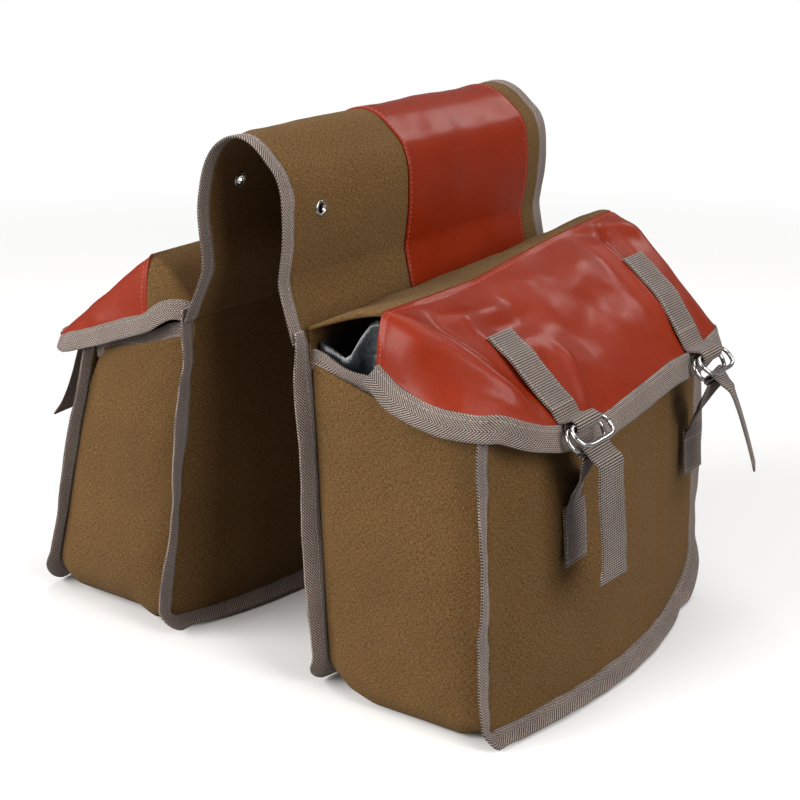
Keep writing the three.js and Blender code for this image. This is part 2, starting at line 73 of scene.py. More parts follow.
# corners: radii of the bottom corners, near and far, as they sit on a filled bag
# tail: how a loose strap's end runs, outwards and up from where it leaves the rings
RIGHT = Side(name="right", sign=1, seam=56, foot=69, mouth=201, toe=207, back_swell=14, front_swell=24,
             ridge=120, lip=224, lip_z=215, corners={"back": (20, 16), "front": (7, 36)},
             tail={"near": [(1, -16), (2, -38), (3, -60), (3, -84)],
                   "far": [(5, -10), (10, -22), (16, -38), (22, -56)]})
LEFT = Side(name="left", sign=-1, seam=46, foot=91, mouth=155, toe=220, back_swell=34, front_swell=8,
            ridge=100, lip=192, lip_z=223, corners={"back": (13, 22), "front": (30, 22)},
            tail={"near": [(7, -14), (18, -36), (31, -58), (45, -78)],
                  "far": [(7, -16), (14, -38), (20, -58), (26, -80)]})
SIDES = [RIGHT, LEFT]
MIDDLE = JOINTS["right_pocket_swing"]["pos_m"][0] - RIGHT.seam * MM


# ---- Numbers ----
def lerp(a, b, t):
    return a + (b - a) * t


def ease(t):
    t = np.clip(t, 0, 1)
    return t * t * (3 - 2 * t)


def unit(v):
    return v / np.maximum(np.linalg.norm(v, axis=-1, keepdims=True), 1e-12)


def place(side, x, y, z):
    """Points in the row frame from a side's own millimetres, x counted outwards from the middle plane."""
    p = np.stack(np.broadcast_arrays(side.sign * np.asarray(x, float), y, z), -1).astype(float) * MM
    p[..., 0] += MIDDLE
    return p


def curve(points, count):
    """A smooth line of count points through the given ones, evenly spaced."""
    p = np.asarray(points, float)
    q = np.vstack([2 * p[0] - p[1], p, 2 * p[-1] - p[-2]])
    t = np.linspace(0, 1, 9)[:-1, None]
    out = []
    for a, b, c, d in zip(q, q[1:], q[2:], q[3:]):
        out.append(0.5 * (2 * b + (c - a) * t + (2 * a - 5 * b + 4 * c - d) * t**2 + (3 * b - a - 3 * c + d) * t**3))
    return even(np.vstack(out + [p[-1:]]), count)


def even(line, count):
    length = np.concatenate([[0], np.cumsum(np.linalg.norm(np.diff(line, axis=0), axis=1))])
    at = np.linspace(0, length[-1], count)
    return np.stack([np.interp(at, length, line[:, k]) for k in range(line.shape[1])], -1)


def ripple(points, size, seed=0.0, stretch=(1, 1, 1)):
    """Smooth noise of about -1 to 1 at each point, with bumps of that size in millimetres."""
    flat = points.reshape(-1, 3) / (size * MM) / np.asarray(stretch) + seed
    values = [noise.noise(Vector(p)) for p in flat]
    return np.array(values).reshape(points.shape[:-1]) * 1.6


def normals(points):
    return unit(np.cross(np.gradient(points, axis=0), np.gradient(points, axis=1)))


def normals_up(points):
    out = normals(points)
    return -out if out[..., 2].mean() < 0 else out


# ---- Mesh code ----
def build(name, verts, faces, uvs, look, body, flat_from=None):
    verts = np.asarray(verts, float)
    quads = list(faces)
    fans = ((f[0], f[k], f[k + 1]) for f in quads for k in range(1, len(f) - 1))
    volume = sum(float(np.dot(verts[a], np.cross(verts[b], verts[c]))) for a, b, c in fans)
    if volume < 0:
        quads = [tuple(reversed(f)) for f in quads]
    mesh = bpy.data.meshes.new(name)
    mesh.from_pydata(verts.tolist(), [], [tuple(int(i) for i in f) for f in quads])
    layer = mesh.uv_layers.new(name="UVMap")
    index = np.zeros(len(mesh.loops), int)
    mesh.loops.foreach_get("vertex_index", index)
    layer.data.foreach_set("uv", np.asarray(uvs, float)[index].ravel())
    smooth = np.ones(len(mesh.polygons), bool)
    if flat_from is not None:
        smooth[flat_from:] = False
    mesh.polygons.foreach_set("use_smooth", smooth)
    mesh.materials.append(look)
    mesh.update()
    piece = bpy.data.objects.new(name, mesh)
    bpy.context.scene.collection.objects.link(piece)
    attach(piece, body)
    return piece


def sheet(name, points, thickness, away, look, body):
    """A sheet of cloth: points is its outer face, away a vector on that face's side."""
    n, m = points.shape[:2]
    normal = normals(points)
    if (normal * np.asarray(away)).sum(-1).mean() < 0:
        normal = -normal
    back = points - normal * thickness * MM
    front_at = np.arange(n * m).reshape(n, m)
    back_at = front_at + n * m
    quads = []
    for at, turn in ((front_at, 1), (back_at, -1)):
        q = np.stack([at[:-1, :-1], at[1:, :-1], at[1:, 1:], at[:-1, 1:]], -1).reshape(-1, 4)
        quads.append(q[:, ::turn])
    loop = np.concatenate([front_at[0, :-1], front_at[:-1, -1], front_at[-1, :0:-1], front_at[:0:-1, 0]])
    ahead = np.roll(loop, -1)
    quads.append(np.stack([loop, ahead, ahead + n * m, loop + n * m], -1))
    u = np.concatenate([[0], np.cumsum(np.linalg.norm(np.diff(points, axis=0), axis=-1).mean(1))])
    v = np.concatenate([[0], np.cumsum(np.linalg.norm(np.diff(points, axis=1), axis=-1).mean(0))])
    uv = np.stack(np.meshgrid(u, v, indexing="ij"), -1).reshape(-1, 2)
    faces = np.vstack(quads)
    verts = np.vstack([points.reshape(-1, 3), back.reshape(-1, 3)])
    return build(name, verts, faces, np.vstack([uv, uv]), look, body, len(faces) - len(loop))


FLAT = [(a, 0.5) for a in (-0.47, -0.3, -0.1, 0.1, 0.3, 0.47)]
SECTION_STRAP = [(-0.5, 0.2)] + FLAT + [(0.5, 0.2), (0.5, -0.2)] + [(a, -b) for a, b in FLAT[::-1]] + [(-0.5, -0.2)]
TAPE_TOP = [(-0.5, 0.36), (-0.36, 0.42), (-0.2, 0.36), (-0.05, 0.44),
            (0.15, 0.5), (0.32, 0.5), (0.43, 0.42), (0.49, 0.2)]
SECTION_TAPE = TAPE_TOP + [(a, -b) for a, b in TAPE_TOP[::-1]]


def ribbon(name, at, wide, thin, width, thick, section, look, body):
    """A band with that section along a line. wide and thin are its directions at each point."""
    n, k = len(at), len(section)
    width = np.broadcast_to(width, n)
    a = np.array([s[0] for s in section])
    b = np.array([s[1] for s in section])
    wide, thin = unit(np.broadcast_to(wide, at.shape)), unit(np.broadcast_to(thin, at.shape))
    across = a[None, :, None] * width[:, None, None] * MM
    rings = at[:, None] + wide[:, None] * across + thin[:, None] * b[None, :, None] * thick * MM
    index = np.arange(n * k).reshape(n, k)
    ahead = np.roll(index, -1, axis=1)
    sides = np.stack([index[:-1], index[1:], ahead[1:], ahead[:-1]], -1).reshape(-1, 4)
    faces = [tuple(f) for f in sides] + [tuple(index[0]), tuple(index[-1][::-1])]
    length = np.concatenate([[0], np.cumsum(np.linalg.norm(np.diff(at, axis=0), axis=1))])
    uv = np.stack([np.repeat(length, k), (a[None] * width[:, None] * MM).ravel()], -1)
    return build(name, rings.reshape(-1, 3), faces, uv, look, body, len(sides))


def wire(name, line, radius, look, body, sides=14, closed=True):
    """A round wire along a closed or open line."""
    n = len(line)
    along = unit(np.roll(line, -1, 0) - np.roll(line, 1, 0)) if closed else unit(np.gradient(line, axis=0))
    flat = np.cross(line[0] - line.mean(0), along[0])
    out = unit(np.cross(along, np.broadcast_to(unit(flat), along.shape)))
    up = np.cross(out, along)
    angle = np.linspace(0, 2 * math.pi, sides, endpoint=False)
    spoke = np.cos(angle)[None, :, None] * out[:, None] + np.sin(angle)[None, :, None] * up[:, None]
    rings = line[:, None] + spoke * radius * MM
    index = np.arange(n * sides).reshape(n, sides)
    nxt = np.roll(index, -1, axis=0) if closed else index[1:]
    cur = index if closed else index[:-1]
    faces = np.stack([cur, nxt, np.roll(nxt, -1, 1), np.roll(cur, -1, 1)], -1).reshape(-1, 4)
    faces = [tuple(f) for f in faces]
    if not closed:
        faces += [tuple(index[0]), tuple(index[-1][::-1])]
    uv = np.stack(np.meshgrid(np.arange(n) * 0.002, angle * radius * MM, indexing="ij"), -1).reshape(-1, 2)
    return build(name, rings.reshape(-1, 3), faces, uv, look, body)


def stitches(name, lines, pitch, length, radius, look, body, slot):
    """Sewn stitches along lines of (points, normals): short round threads half sunk in the cloth."""
    angle = np.linspace(0, 2 * math.pi, 6, endpoint=False)
    verts, faces = [], []
    for line, up in lines:
        total = np.linalg.norm(np.diff(line, axis=0), axis=1).sum()
        count = max(2, int(total / (pitch * MM)))
        mid, top = even(line, count), unit(even(np.asarray(up), count))
        along = unit(np.gradient(mid, axis=0))
        for p, t, n in zip(mid, along, top):
            s = np.cross(t, n)
            first = len(verts)
            for share, grow in ((-0.5, 0.35), (-0.3, 1), (0.3, 1), (0.5, 0.35)):
                centre = p + t * share * length * MM + n * (grow - 0.7) * 0.4 * radius * MM
                verts += [centre + (s * math.cos(a) + n * math.sin(a) * 0.8) * grow * radius * MM for a in angle]
            for r in range(3):
                for k in range(6):
                    a, b = first + r * 6 + k, first + r * 6 + (k + 1) % 6
                    faces.append((a, b, b + 6, a + 6))
            faces.append(tuple(range(first + 5, first - 1, -1)))
            faces.append(tuple(range(first + 18, first + 24)))
    uv = np.array(verts)[:, :2]
    return build(name, verts, faces, uv, look, body)


# ---- Materials ----
def shader(name, color, roughness, **sockets):
    mat = bpy.data.materials.new(name)
    mat.use_nodes = True
    bsdf = mat.node_tree.nodes["Principled BSDF"]
    bsdf.inputs["Base Color"].default_value = (*color, 1)
    bsdf.inputs["Roughness"].default_value = roughness
    for key, value in sockets.items():
        bsdf.inputs[key.replace("_", " ")].default_value = value
    return mat, mat.node_tree, bsdf


def add(tree, kind, inputs=(), **settings):
    node = tree.nodes.new("ShaderNode" + kind)
    for key, value in settings.items():
        setattr(node, key, value)
    for key, value in dict(inputs).items():
        if isinstance(value, bpy.types.NodeSocket):
            tree.links.new(value, node.inputs[key])
        else:
            node.inputs[key].default_value = value
    return node


def math_node(tree, operation, *values):
    return add(tree, "Math", dict(enumerate(values)), operation=operation).outputs[0]


def scaled(tree, value, by, plus):
    return math_node(tree, "MULTIPLY_ADD", value, by, plus)


def ramp(tree, value, *stops):
    node = add(tree, "ValToRGB", {"Fac": value})
    points = node.color_ramp.elements
    while len(points) < len(stops):
        points.new(0.5)
    for point, (at, color) in zip(points, stops):
        point.position, point.color = at, (*color, 1)
    return node.outputs[0]


def mix(tree, kind, share, a, b):
    node = add(tree, "Mix", {}, data_type="RGBA", blend_type=kind)
    for at, value in ((0, share), (6, a), (7, b)):
        if isinstance(value, bpy.types.NodeSocket):
            tree.links.new(value, node.inputs[at])
        else:
            node.inputs[at].default_value = value if at == 0 else (*value, 1)
    return node.outputs[2]


def cloth_coordinates(tree):
    """The cloth's own coordinates, in metres along and across it, and its place in space."""
    uv = add(tree, "UVMap", uv_map="UVMap").outputs[0]
    parts = add(tree, "SeparateXYZ", {0: uv})
    spot = add(tree, "TexCoord").outputs["Object"]
    return uv, parts.outputs[0], parts.outputs[1], spot


def wave(tree, value, period):
    """A sine wave of 0 to 1 with that period in millimetres."""
    turned = math_node(tree, "MULTIPLY", value, 2 * math.pi / (period * MM))
    return scaled(tree, math_node(tree, "SINE", turned), 0.5, 0.5)


def stretched_noise(tree, uv, along, across, detail=2.0):
    """Noise drawn out along the cloth: grains of that many millimetres along and across."""
    mapping = add(tree, "Mapping", {"Vector": uv, "Scale": (1 / (along * MM), 1 / (across * MM), 1)})
    return add(tree, "TexNoise", {"Vector": mapping.outputs[0], "Scale": 1.0, "Detail": detail}).outputs[0]


def bump(tree, bsdf, height, depth, strength=1.0):
    node = add(tree, "Bump", {"Height": height, "Distance": depth * MM, "Strength": strength})
    tree.links.new(node.outputs[0], bsdf.inputs["Normal"])


def lumps(tree, spot, scale, detail, **more):
    """Noise in space, with scale lumps to the metre."""
    return add(tree, "TexNoise", {"Vector": spot, "Scale": float(scale), "Detail": float(detail), **more}).outputs[0]


def canvas_material():
    mat, tree, bsdf = shader("waxed_canvas", (0.12, 0.06, 0.0165), 0.9, Sheen_Weight=0.05, Sheen_Roughness=0.6,
                             Specular_IOR_Level=0.18, Sheen_Tint=(0.8, 0.62, 0.4, 1))
    uv, u, v, spot = cloth_coordinates(tree)
    warp = wave(tree, u, 0.95)
    weft = wave(tree, v, 0.95)
    weave = math_node(tree, "MULTIPLY", math_node(tree, "SUBTRACT", warp, 0.5), math_node(tree, "SUBTRACT", weft, 0.5))
    weave = scaled(tree, weave, 2.0, 0.5)
    long_yarn = stretched_noise(tree, uv, 2.6, 0.5)
    cross_yarn = stretched_noise(tree, uv, 0.5, 2.6)
    yarn = scaled(tree, long_yarn, 0.5, math_node(tree, "MULTIPLY", cross_yarn, 0.5))
    fleck = stretched_noise(tree, uv, 0.6, 0.6, 2.0)
    yarn = scaled(tree, fleck, 0.5, math_node(tree, "MULTIPLY", yarn, 0.5))
    color = ramp(tree, yarn, (0.4, (0.034, 0.016, 0.004)), (0.5, (0.118, 0.060, 0.0175)), (0.6, (0.262, 0.147, 0.052)))
    shade = ramp(tree, weave, (0.0, (0.66, 0.66, 0.66)), (1.0, (1.2, 1.2, 1.2)))
    color = mix(tree, "MULTIPLY", 1.0, color, shade)
    blotch = lumps(tree, spot, 16, 4)
    color = mix(tree, "MULTIPLY", 1.0, color, ramp(tree, blotch, (0.3, (0.93, 0.93, 0.94)), (0.7, (1.06, 1.05, 1.03))))
    tree.links.new(color, bsdf.inputs["Base Color"])
    height = scaled(tree, weave, 0.6, math_node(tree, "MULTIPLY", yarn, 0.8))
    soft = lumps(tree, spot, 90, 3)
    height = scaled(tree, soft, 0.7, height)
    bump(tree, bsdf, height, 0.35, 0.8)
    return mat


def leather_material():
    mat, tree, bsdf = shader("terracotta_leather", (0.2, 0.016, 0.004), 0.4, Coat_Weight=0.06, Coat_Roughness=0.16,
                             Specular_IOR_Level=0.2)
    _, _, _, spot = cloth_coordinates(tree)
    cells = add(tree, "TexVoronoi", {"Vector": spot, "Scale": 900.0}, feature="DISTANCE_TO_EDGE").outputs[0]
    grain = ramp(tree, cells, (0.0, (0, 0, 0)), (0.12, (1, 1, 1)))
    fine = lumps(tree, spot, 1400, 2)
    broad = lumps(tree, spot, 14, 3)
    stops = [(0.3, (0.22, 0.0172, 0.0022)), (0.52, (0.238, 0.019, 0.0026)), (0.75, (0.258, 0.0212, 0.0032))]
    color = ramp(tree, broad, *stops)
    color = mix(tree, "MULTIPLY", 0.35, color, grain)
    tree.links.new(color, bsdf.inputs["Base Color"])
    rough = scaled(tree, broad, 0.06, 0.23)
    tree.links.new(rough, bsdf.inputs["Roughness"])
    height = scaled(tree, fine, 0.35, grain)
    waves = lumps(tree, spot, 60, 2)
    height = scaled(tree, waves, 4.0, height)
    bump(tree, bsdf, height, 0.06, 0.8)
    return mat


def webbing_material(name, rib, herringbone, light=1.0):
    """Binding tape has slanting ribs that meet in the middle, and strap webbing straight ones."""
    mat, tree, bsdf = shader(name, (0.16, 0.12, 0.1), 0.85, Sheen_Weight=0.1, Sheen_Roughness=0.5,
                             Specular_IOR_Level=0.25)
    uv, u, v, spot = cloth_coordinates(tree)
    if herringbone:
        slant = math_node(tree, "ABSOLUTE", math_node(tree, "SUBTRACT", v, 0.0005))
        along = scaled(tree, slant, 1.1, u)
        ribs = wave(tree, along, rib)
        cross = wave(tree, v, 1.3)
    else:
        ribs = wave(tree, u, rib)
        cross = wave(tree, v, 2.3)
    thread = scaled(tree, ribs, 0.66, math_node(tree, "MULTIPLY", cross, 0.34))
    fleck = stretched_noise(tree, uv, 0.8, 1.6, 2.0)
    tone = scaled(tree, fleck, 0.4, math_node(tree, "MULTIPLY", thread, 0.6))
    stops = [(0.3, (0.016, 0.012, 0.010)), (0.5, (0.13, 0.098, 0.084)), (0.7, (0.42, 0.34, 0.30))]
    color = ramp(tree, tone, *[(at, tuple(c * light for c in rgb)) for at, rgb in stops])
    worn = lumps(tree, spot, 35, 3)
    color = mix(tree, "MULTIPLY", 1.0, color, ramp(tree, worn, (0.3, (0.86, 0.86, 0.87)), (0.7, (1.1, 1.09, 1.07))))
    tree.links.new(color, bsdf.inputs["Base Color"])
    bump(tree, bsdf, scaled(tree, fleck, 0.4, thread), 0.55, 0.9)
    return mat


def lining_material():
    mat, tree, bsdf = shader("coated_lining", (0.04, 0.05, 0.062), 0.32, Coat_Weight=0.3, Coat_Roughness=0.2)
    uv, _, _, spot = cloth_coordinates(tree)
    crumple = lumps(tree, spot, 70, 4, Distortion=0.8)
    fine = stretched_noise(tree, uv, 0.7, 0.7)
    # painted shade: the colour follows the crumples that the bump raises, darker in their hollows and lighter on their
    # crests
    color = ramp(tree, crumple, (0.3, (0.014, 0.018, 0.022)), (0.7, (0.045, 0.054, 0.066)))
    tree.links.new(color, bsdf.inputs["Base Color"])
    bump(tree, bsdf, scaled(tree, fine, 0.05, crumple), 2.5, 0.9)
    return mat


def metal_material():
    mat, tree, bsdf = shader("nickel_plate", (0.83, 0.82, 0.8), 0.14, Metallic=1.0)
    _, _, _, spot = cloth_coordinates(tree)
    brushed = lumps(tree, spot, 420, 4)
    tree.links.new(ramp(tree, brushed, (0.3, (0.36, 0.355, 0.35)), (0.6, (0.62, 0.61, 0.6))), bsdf.inputs["Base Color"])
    tree.links.new(scaled(tree, brushed, 0.1, 0.05), bsdf.inputs["Roughness"])
    bump(tree, bsdf, brushed, 0.05, 0.4)
    return mat


def thread_material(name, color):
    mat, tree, bsdf = shader(name, color, 0.6, Sheen_Weight=0.2)
    _, _, _, spot = cloth_coordinates(tree)
    twist = lumps(tree, spot, 1500, 1)
    dark, bright = tuple(c * 0.6 for c in color), tuple(min(1, c * 1.25) for c in color)
    tree.links.new(ramp(tree, twist, (0.35, dark), (0.65, bright)), bsdf.inputs["Base Color"])
    return mat


canvas = canvas_material()
leather = leather_material()
tape_look = webbing_material("binding_tape", 2.2, True)
strap_look = webbing_material("strap_webbing", 1.8, False, 0.85)
lining_look = lining_material()
metal = metal_material()
red_thread = thread_material("red_thread", (0.5, 0.06, 0.03))
tape_thread = thread_material("taupe_thread", (0.36, 0.3, 0.25))


# ---- Camera, light and floor ----
CAMERA_AT, CAMERA_TURN, CAMERA_LENS = (0.71723, -0.96933, 0.5825), (35.83, 18.97), 72.9


def add_camera():
    lens = bpy.data.cameras.new("camera")
    lens.sensor_width, lens.lens = 36, CAMERA_LENS
    camera = bpy.data.objects.new("camera", lens)
    azimuth, elevation = (math.radians(angle) for angle in CAMERA_TURN)
    level = math.cos(elevation)
    back = Vector((math.sin(azimuth) * level, -math.cos(azimuth) * level, math.sin(elevation)))
    camera.location = CAMERA_AT
    camera.rotation_euler = back.to_track_quat("Z", "Y").to_euler()
    bpy.context.scene.collection.objects.link(camera)
    bpy.context.scene.camera = camera


def add_light(name, place_at, target, size, power, color=(1, 1, 1)):
    lamp = bpy.data.lights.new(name, "AREA")
    lamp.shape = "RECTANGLE"
    lamp.size, lamp.size_y = size
    lamp.energy = power
    lamp.color = color
    holder = bpy.data.objects.new(name, lamp)
    holder.location = place_at
    holder.rotation_euler = (Vector(place_at) - Vector(target)).to_track_quat("Z", "Y").to_euler()
    bpy.context.scene.collection.objects.link(holder)


def add_studio():
    world = bpy.data.worlds.new("studio")
    world.use_nodes = True
    tree = world.node_tree
    seen = tree.nodes.new("ShaderNodeLightPath").outputs["Is Camera Ray"]
    background = tree.nodes["Background"]
    background.inputs["Color"].default_value = (1, 1, 1, 1)
    tree.links.new(scaled(tree, seen, 0.78, 0.22), background.inputs["Strength"])
    bpy.context.scene.world = world
    add_light("key", (-1.2, -2.1, 1.25), (0, 0, 0.2), (2.2, 1.8), 105, (1, 0.985, 0.96))
    add_light("top", (0.2, 0.3, 2.2), (0, 0, 0.2), (2.0, 1.4), 21)
    add_light("side", (2.2, -0.4, 1.3), (0, 0, 0.2), (1.2, 1.4), 46, (1, 0.99, 0.975))
    add_light("back", (0.4, 2.0, 1.7), (0, 0, 0.25), (1.0, 0.4), 7.5, (1, 0.96, 0.93))
    bpy.context.scene.view_settings.view_transform = "Standard"
    size = 6.0
    mesh = bpy.data.meshes.new("floor")
    mesh.from_pydata([(-size, -size, 0), (size, -size, 0), (size, size, 0), (-size, size, 0)], [], [(0, 1, 2, 3)])
    mat, tree, bsdf = shader("pale_floor", (0.92, 0.92, 0.92), 0.95)
    spot = add(tree, "TexCoord").outputs["Object"]
    seen = tree.nodes.new("ShaderNodeLightPath").outputs["Is Camera Ray"]
    shade = scaled(tree, seen, 0.62, 0.3)
    tree.links.new(ramp(tree, shade, (0.3, (0.3, 0.3, 0.3)), (0.92, (0.92, 0.92, 0.92))), bsdf.inputs["Base Color"])
    away = add(tree, "VectorMath", {0: spot}, operation="LENGTH").outputs["Value"]
    far = add(tree, "MapRange", {"Value": away, "From Min": 0.8, "From Max": 1.7}).outputs[0]
    glow = add(tree, "Emission", {"Strength": scaled(tree, seen, 0.8, 0.2)})
    both = add(tree, "MixShader", {0: far, 1: bsdf.outputs[0], 2: glow.outputs[0]})
    tree.links.new(both.outputs[0], tree.nodes["Material Output"].inputs[0])
    mesh.materials.append(mat)
    floor = bpy.data.objects.new("floor", mesh)
    bpy.context.scene.collection.objects.link(floor)


add_camera()
add_studio()


# ---- The pocket's surfaces ----
def inner_x(side, z):
    return lerp(side.foot, side.seam, z / SEAM_Z)


def outer_x(side, z):
    return lerp(side.toe, side.mouth, z / MOUTH_FRONT_Z)


def bulge(amount, z, u):
    height = np.clip((z - HEM_Z) / (SEAM_Z - HEM_Z), 0, 1)
    return amount * (1 - u * u) * (1 - height**1.5) * (0.8 + 0.8 * height)


def back_x(side, z, u):
    return inner_x(side, z) - bulge(side.back_swell, z, u)


def front_x(side, z, u):
    return outer_x(side, z) + bulge(side.front_swell, z, u)


def half_length(corners, z, end):
    """How far a panel reaches along at a height, at the near end where end is negative and at the far one."""
    r = np.where(np.asarray(end) < 0, float(corners[0]), float(corners[1]))
    rise = np.clip(z - HEM_Z, 0, r)
    return HALF - r + np.sqrt(np.maximum(r**2 - (r - rise) ** 2, 0))


def crumple(points, normal, low, fine, seed, edge=None):
    """Pushes cloth in and out: soft folds, small dents, and puckers where edge is near 1."""
    push = ripple(points, 62, seed) * low + ripple(points, 17, seed + 5) * fine
    if edge is not None:
        push = push + edge * ripple(points, 7, seed + 9) * 0.7
    return points + normal * push[..., None] * MM


def panel(side, which):
    """The back or front panel of a pocket."""
    top = SEAM_Z - 1 if which == "back" else MOUTH_FRONT_Z
    low = HEM_Z + 36 * (1 - np.cos(np.linspace(0, math.pi / 2, 15)))[:-1]
    z = np.concatenate([low, np.linspace(HEM_Z + 36, top, 56)])
    u = np.linspace(-1, 1, 76)
    z, u = np.meshgrid(z, u, indexing="ij")
    x = (back_x if which == "back" else front_x)(side, z, u)
    points = place(side, x, u * half_length(side.corners[which], z, u), z)
    away = np.array([side.sign * (-1 if which == "back" else 1), 0, 0])
    edge = np.exp(-(1 - np.abs(u)) * HALF / 9) + np.exp(-(z - HEM_Z) / 9)
    hold = ease((1 - np.abs(u)) * HALF / 14) * ease((z - HEM_Z) / 14)
    moved = crumple(points, np.broadcast_to(away, points.shape), 2.4, 0.5, 3.0 if which == "back" else 7.7, edge)
    points = points + (moved - points) * hold[..., None]
    piece = sheet(f"{side.name}_{which}_cloth", points, CANVAS, away, canvas, f"{side.name}_pocket")
    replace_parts(piece, f"{side.name}_{which}_panel")


def seam_line(corners, top, count):
    """The seam in the end's plane: down the near end, along the bottom and up the far end, with its normals."""
    turn = np.linspace(0, math.pi / 2, 14)[1:-1]

    def half(r):
        y = np.concatenate([np.full(40, HALF), HALF - r * (1 - np.cos(turn)), np.linspace(HALF - r, 0, 30)])
        z = np.concatenate([np.linspace(top, HEM_Z + r, 40), HEM_Z + r * (1 - np.sin(turn)), np.full(30, HEM_Z)])
        return np.stack([y, z], -1)

    whole = even(np.vstack([half(corners[0]) * [-1, 1], half(corners[1])[-2::-1]]), count)
    along = unit(np.gradient(whole, axis=0))
    return whole[:, 0], whole[:, 1], np.stack([along[:, 1], -along[:, 0]], -1)


def gusset_swell(v, down):
    flat = ease(v / 0.16) * ease((1 - v) / 0.16)
    round_ = np.sin(math.pi * np.clip(v, 0, 1)) ** 0.55
    return lerp(9.0 * round_, 7.6 * flat, down)


def gusset(side):
    v = np.linspace(0, 1, 46)
    share = ease((v - 0.04) / 0.3)[None]
    corners = side.corners["back"], side.corners["front"]
    parts = [seam_line(c, MOUTH_BACK_Z + 4, 230) for c in corners]
    y, zz = [lerp(parts[0][k][:, None], parts[1][k][:, None], share) for k in (0, 1)]
    n = unit(lerp(parts[0][2][:, None], parts[1][2][:, None], share[..., None]))
    down = np.clip(-n[..., 1], 0, 1)
    edges = [(part[0] / half_length(c, part[1], part[0]))[:, None] for part, c in zip(parts, corners)]
    x0 = back_x(side, parts[0][1][:, None], edges[0]) + CANVAS
    x1 = front_x(side, parts[1][1][:, None], edges[1]) - CANVAS
    swell = gusset_swell(v[None], down)
    lowered = np.clip(zz - 190, 0, None) / (MOUTH_BACK_Z - 190)
    height = zz - lowered * (MOUTH_BACK_Z - MOUTH_FRONT_Z) * v[None]
    out_y = y + n[..., 0] * swell
    out_z = height + n[..., 1] * swell
    points = place(side, lerp(x0, x1, v[None]), out_y, out_z)
    away = np.stack([np.zeros_like(y), n[..., 0], n[..., 1]], -1)
    hold = (ease(v / 0.12) * ease((1 - v) / 0.12))[None] * (1 - 0.85 * down)
    edge = np.exp(-np.minimum(v, 1 - v)[None] * 14) + 0 * zz
    moved = crumple(points, np.broadcast_to(away, points.shape), 2.0, 0.5, 12.3, edge)
    points = points + (moved - points) * hold[..., None]
    piece = sheet(f"{side.name}_gusset_cloth", points, CANVAS, away, canvas, f"{side.name}_pocket")
    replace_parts(piece, f"{side.name}_gusset")


def lining(side):
    """The coated lining, a tub inside the canvas."""
    z = np.concatenate([[HEM_Z + 7, HEM_Z + 9], np.linspace(HEM_Z + 14, MOUTH_FRONT_Z - 4, 34)])
    u = np.linspace(-1, 1, 40)
    zz, uu = np.meshgrid(z, u, indexing="ij")
    inset = CANVAS + 3.2
    half = half_length((22, 36), zz - 5, uu) - 4
    raised = zz + 46 * ease((zz - 150) / 65)
    back = place(side, back_x(side, raised, uu) + inset, uu * half, raised)
    front = place(side, front_x(side, zz, uu) - inset, uu * half, zz)
    share = np.linspace(0, 1, 32)[1:-1]
    far = [lerp(back[:, -1:], front[:, -1:], s) for s in share]
    near = [lerp(front[:, :1], back[:, :1], s) for s in share]
    loop = np.concatenate([back, *far, front[:, ::-1], *near, back[:, :1]], axis=1)
    centre = loop.mean(axis=1, keepdims=True)
    outwards = unit((loop - centre) * [1, 1, 0])
    dents = np.abs(ripple(loop[:, :-1], 26, 4.0)) * 3.2 * MM
    loop = loop - outwards * np.hstack([dents, dents[:, :1]])[..., None]
    if side is RIGHT:  # its collar is pulled up at the near end, under the flap
        out_x, along_y, up_z = (loop[..., 0] - MIDDLE) / MM, loop[..., 1] / MM, loop[..., 2] / MM
        pull = ease((up_z - 185) / 30) * ease((out_x - 84) / 16)
        pull = pull * (1 - ease((out_x - 116) / 10)) * (1 - ease((along_y + 134) / 10))
        loop = loop + pull[..., None] * np.array([0, 12, 34]) * MM
        loop[..., 0] += pull * ripple(loop, 14, 2.0) * 3 * MM
    floor = [lerp(loop[:1], centre[:1], s) for s in (0.999, 0.6, 0.25)]
    points = np.concatenate([*floor, loop], axis=0)
    body = f"{side.name}_pocket"
    piece = sheet(f"{side.name}_lining_cloth", points, -0.5, -outwards[:1], lining_look, body)
    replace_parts(piece, f"{side.name}_lining")


# ---- Binding ----
def tape(name, node, at, wide, thin, body, width=TAPE_WIDTH, seed=0.0, wobble=0.5, sewn=0.2, thick=TAPE_THICK):
    """A binding tape folded over an edge, with its stitching near the open side of the fold."""
    wide, thin = unit(wide), unit(thin)
    at = at + thin * (ripple(at, 24, seed) * wobble * MM)[:, None]
    thin = unit(thin + wide * (ripple(at, 30, seed + 4) * 0.12 * wobble)[:, None])
    width = width * (1 + 0.04 * ripple(at, 18, seed + 7))
    piece = ribbon(name, at, wide, thin, width, thick, SECTION_TAPE, tape_look, body)
    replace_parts(piece, node)
    row = at - wide * (width * sewn * MM)[:, None]
    lift = thin * thick * 0.38 * MM
    rows = [(row + lift, thin), (row - lift, -thin)]
    stitches(name + "_stitches", rows, *SEAM_THREAD, 0.3, tape_thread, body, "webbing")


